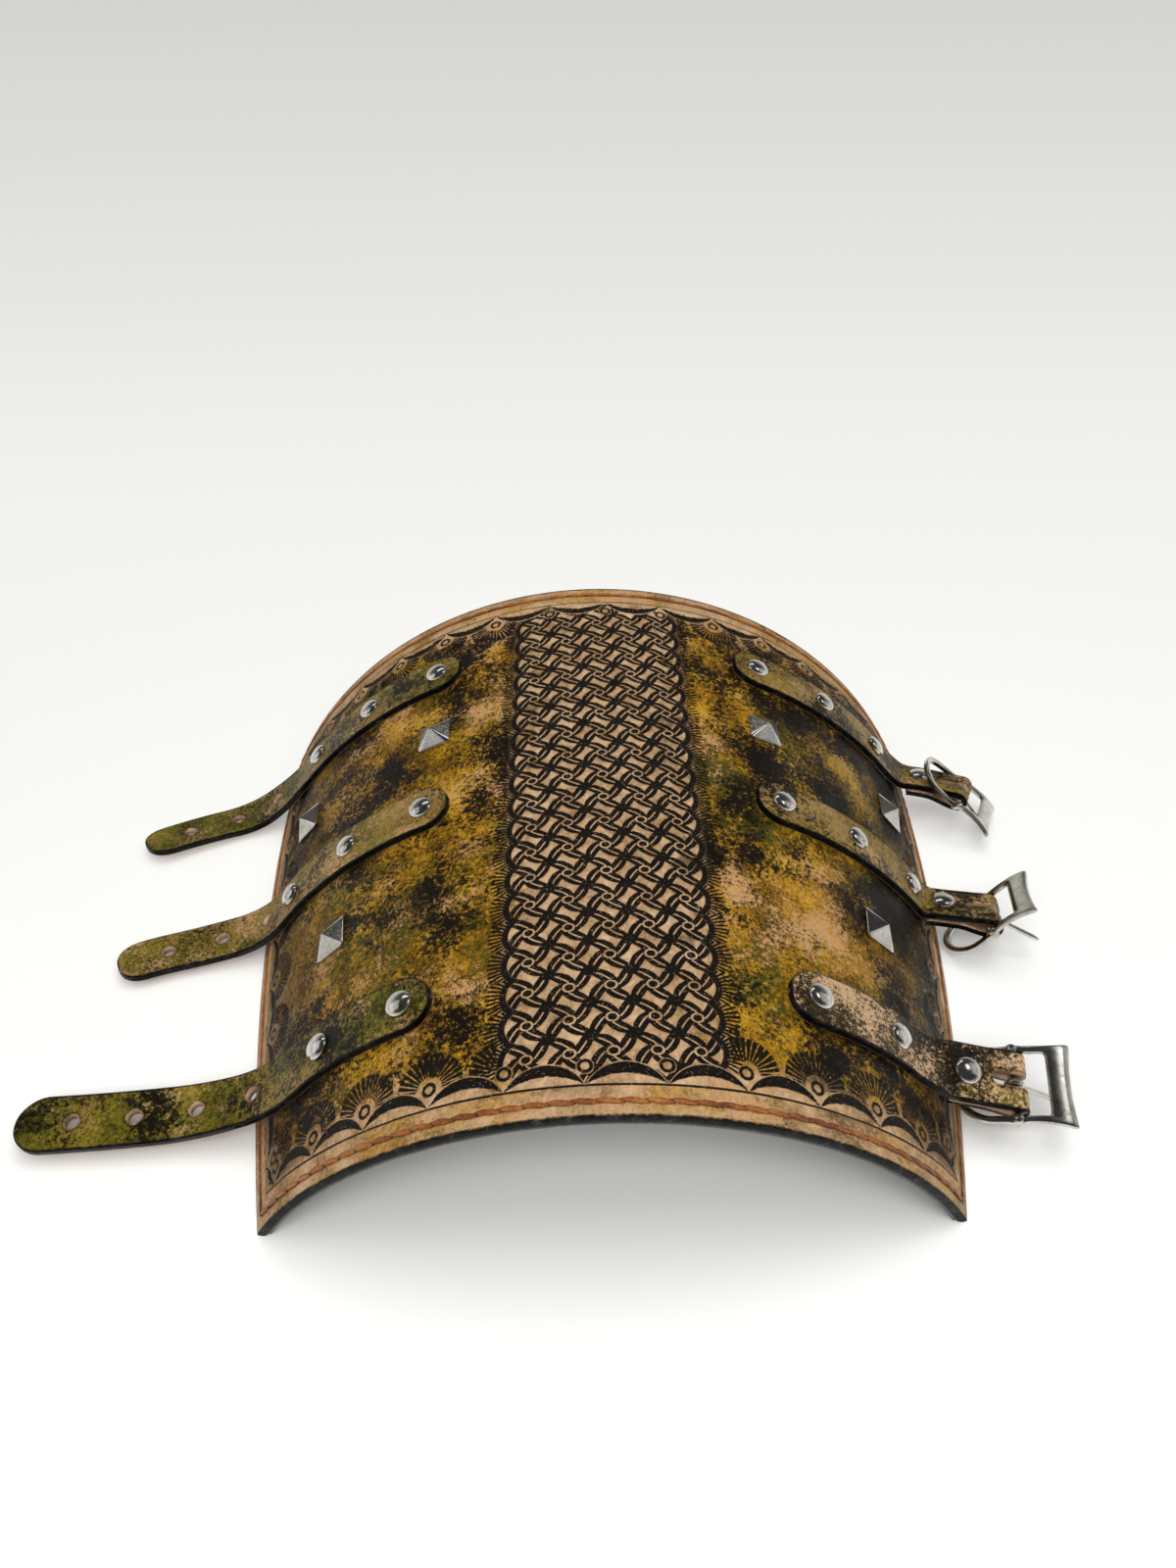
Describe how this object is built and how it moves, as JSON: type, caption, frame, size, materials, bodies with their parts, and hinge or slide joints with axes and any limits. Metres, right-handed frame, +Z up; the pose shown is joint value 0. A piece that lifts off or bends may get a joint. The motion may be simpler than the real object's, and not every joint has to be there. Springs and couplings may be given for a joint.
{
  "type": "bracer",
  "caption": "Domed leather forearm bracer with a basket-weave tooled panel, stamped border, pyramid studs and riveted straps that close with nickel buckles",
  "frame": {"origin": "Middle of the shell's length, on its mirror plane, level with the two long edges that it rests on", "axes": "+X toward the buckle side, +Y toward the elbow end and along the forearm, +Z up, away from the forearm"},
  "size_m": [0.361, 0.243, 0.0875],
  "materials": {
    "tooled_leather": "antiqued, semi-gloss",
    "suede_lining": "matt suede",
    "waxed_thread": "waxed",
    "olive_leather": "mottled, semi-gloss",
    "dark_leather": "mottled, semi-gloss",
    "nickel": "polished"
  },
  "bodies": {
    "bracer": {"outer_shell": "tooled_leather", "lining": "suede_lining", "border_thread": "waxed_thread", "pyramid_studs": "nickel", "wrist_tip_strap": "olive_leather", "wrist_tip_caps": "nickel", "wrist_tip_posts": "nickel", "middle_tip_strap": "olive_leather", "middle_tip_caps": "nickel", "middle_tip_posts": "nickel", "elbow_tip_strap": "olive_leather", "elbow_tip_caps": "nickel", "elbow_tip_posts": "nickel", "wrist_buckle_strap": "dark_leather", "wrist_buckle_caps": "nickel", "wrist_buckle_posts": "nickel", "middle_buckle_strap": "olive_leather", "middle_buckle_caps": "nickel", "middle_buckle_posts": "nickel", "elbow_buckle_strap": "olive_leather", "elbow_buckle_caps": "nickel", "elbow_buckle_posts": "nickel"},
    "wrist_tail_flap": {"wrist_tail": "olive_leather"},
    "wrist_buckle_fold": {"wrist_fold": "dark_leather", "wrist_fold_cap": "nickel", "wrist_fold_post": "nickel"},
    "wrist_buckle": {"wrist_frame": "nickel"},
    "wrist_tongue": {"wrist_prong": "nickel"},
    "middle_tail_flap": {"middle_tail": "olive_leather"},
    "middle_buckle_fold": {"middle_fold": "olive_leather", "middle_fold_cap": "nickel", "middle_fold_post": "nickel"},
    "middle_buckle": {"middle_frame": "nickel"},
    "middle_tongue": {"middle_prong": "nickel"},
    "elbow_tail_flap": {"elbow_tail": "olive_leather"},
    "elbow_buckle_fold": {"elbow_fold": "olive_leather", "elbow_fold_cap": "nickel", "elbow_fold_post": "nickel"},
    "elbow_buckle": {"elbow_frame": "nickel"},
    "elbow_tongue": {"elbow_prong": "nickel"}
  },
  "joints": [
    {"name": "wrist_tail_bend", "type": "hinge", "parent": "bracer", "child": "wrist_tail_flap", "pos_m": [-0.12245, -0.07541, 0.0127], "axis": [-0.0771, 0.9947, 0.0682], "range_deg": [-60, 60]},
    {"name": "wrist_fold_bend", "type": "hinge", "parent": "bracer", "child": "wrist_buckle_fold", "pos_m": [0.09637, -0.07508, 0.03112], "axis": [0.1601, 0.9868, 0.0223], "range_deg": [-45, 0]},
    {"name": "wrist_buckle_turn", "type": "hinge", "parent": "wrist_buckle_fold", "child": "wrist_buckle", "pos_m": [0.12886, -0.0772, 0.01777], "axis": [0.1203, 0.9512, 0.2841], "range_deg": [-24, 4]},
    {"name": "wrist_tongue_turn", "type": "hinge", "parent": "wrist_buckle", "child": "wrist_tongue", "pos_m": [0.12886, -0.0772, 0.01777], "axis": [0.1203, 0.9512, 0.2841], "range_deg": [-28, 70]},
    {"name": "middle_tail_bend", "type": "hinge", "parent": "bracer", "child": "middle_tail_flap", "pos_m": [-0.13292, 0.0046, 0.00836], "axis": [-0.1591, 0.9871, 0.0147], "range_deg": [-60, 60]},
    {"name": "middle_fold_bend", "type": "hinge", "parent": "bracer", "child": "middle_buckle_fold", "pos_m": [0.11996, 0.00605, 0.01804], "axis": [0.1877, 0.9786, -0.0847], "range_deg": [-33, 0]},
    {"name": "middle_buckle_turn", "type": "hinge", "parent": "middle_buckle_fold", "child": "middle_buckle", "pos_m": [0.14368, -0.00002, 0.01556], "axis": [0.1972, 0.9577, -0.2095], "range_deg": [-75, 28]},
    {"name": "middle_tongue_turn", "type": "hinge", "parent": "middle_buckle", "child": "middle_tongue", "pos_m": [0.14368, -0.00002, 0.01556], "axis": [0.1972, 0.9577, -0.2095], "range_deg": [-55, 60]},
    {"name": "elbow_tail_bend", "type": "hinge", "parent": "bracer", "child": "elbow_tail_flap", "pos_m": [-0.14349, 0.07834, 0.00564], "axis": [-0.2576, 0.9656, -0.0353], "range_deg": [-60, 60]},
    {"name": "elbow_fold_bend", "type": "hinge", "parent": "bracer", "child": "elbow_buckle_fold", "pos_m": [0.12141, 0.08162, 0.0244], "axis": [0.0457, 0.9987, 0.0244], "range_deg": [-45, 0]},
    {"name": "elbow_buckle_turn", "type": "hinge", "parent": "elbow_buckle_fold", "child": "elbow_buckle", "pos_m": [0.15189, 0.07147, 0.01562], "axis": [0.4008, 0.8896, -0.2189], "range_deg": [0, 75]},
    {"name": "elbow_tongue_turn", "type": "hinge", "parent": "elbow_buckle", "child": "elbow_tongue", "pos_m": [0.15189, 0.07147, 0.01562], "axis": [0.4008, 0.8896, -0.2189], "range_deg": [-4, 30]}
  ]
}
